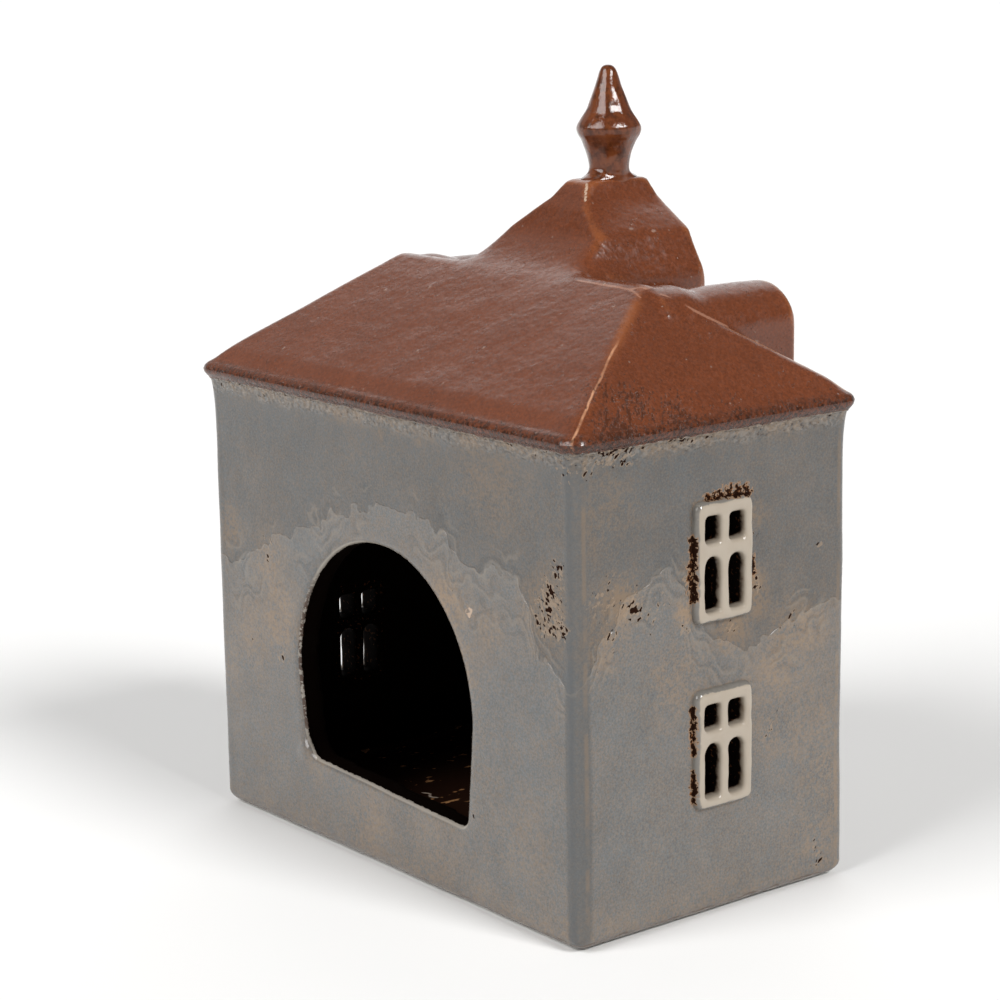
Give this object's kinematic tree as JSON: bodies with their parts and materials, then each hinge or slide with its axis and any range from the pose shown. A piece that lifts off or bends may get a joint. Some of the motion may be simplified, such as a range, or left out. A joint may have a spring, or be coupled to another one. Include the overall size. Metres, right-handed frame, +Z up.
{
  "type": "tealight house",
  "caption": "Hollow glazed stoneware house for a tealight, with an arched opening, pierced windows and a bell-shaped tower roof with a finial.",
  "frame": {"origin": "under the middle of the house, on the surface that it stands on", "axes": "+Z up, +X along the ridge to the end wall on the right of the arch, -Y out of the arch and +Y out of the facade"},
  "size_m": [0.1536, 0.0886, 0.1982],
  "materials": {
    "wall_glaze": "grey-blue gloss glaze mottled with tan",
    "roof_glaze": "red-brown gloss glaze",
    "window_glaze": "cream gloss glaze",
    "door_glaze": "cream gloss glaze",
    "candle_cup": "thin pressed cup",
    "wax": "paraffin wax, waxy sheen",
    "wick": "braided cotton, waxed",
    "sustainer": "tinned steel"
  },
  "bodies": {
    "house": {"floor_slab": "wall_glaze", "arch_wall": "wall_glaze", "facade_wall": "wall_glaze", "left_end_wall": "wall_glaze", "right_end_wall": "wall_glaze", "hip_roof": "roof_glaze", "left_dormer": "roof_glaze", "right_dormer": "roof_glaze", "tower_roof": "roof_glaze", "finial": "roof_glaze", "right_end_lower_window": "window_glaze", "right_end_upper_window": "window_glaze", "left_end_lower_window": "window_glaze", "left_end_upper_window": "window_glaze", "facade_left_lower_window": "window_glaze", "facade_left_upper_window": "window_glaze", "facade_right_lower_window": "window_glaze", "facade_right_upper_window": "window_glaze", "facade_middle_window": "window_glaze", "tower_window": "window_glaze", "left_dormer_window": "window_glaze", "right_dormer_window": "window_glaze", "front_door": "door_glaze"},
    "tealight": {"tealight_cup": "candle_cup", "tealight_wax": "wax", "tealight_wick": "wick", "wick_sustainer": "sustainer"}
  },
  "joints": [
    {"name": "tealight_lift_out", "type": "slide", "parent": "house", "child": "tealight", "axis": [-0.178, -0.7992, 0.5741], "range_m": [0, 0.095]}
  ]
}
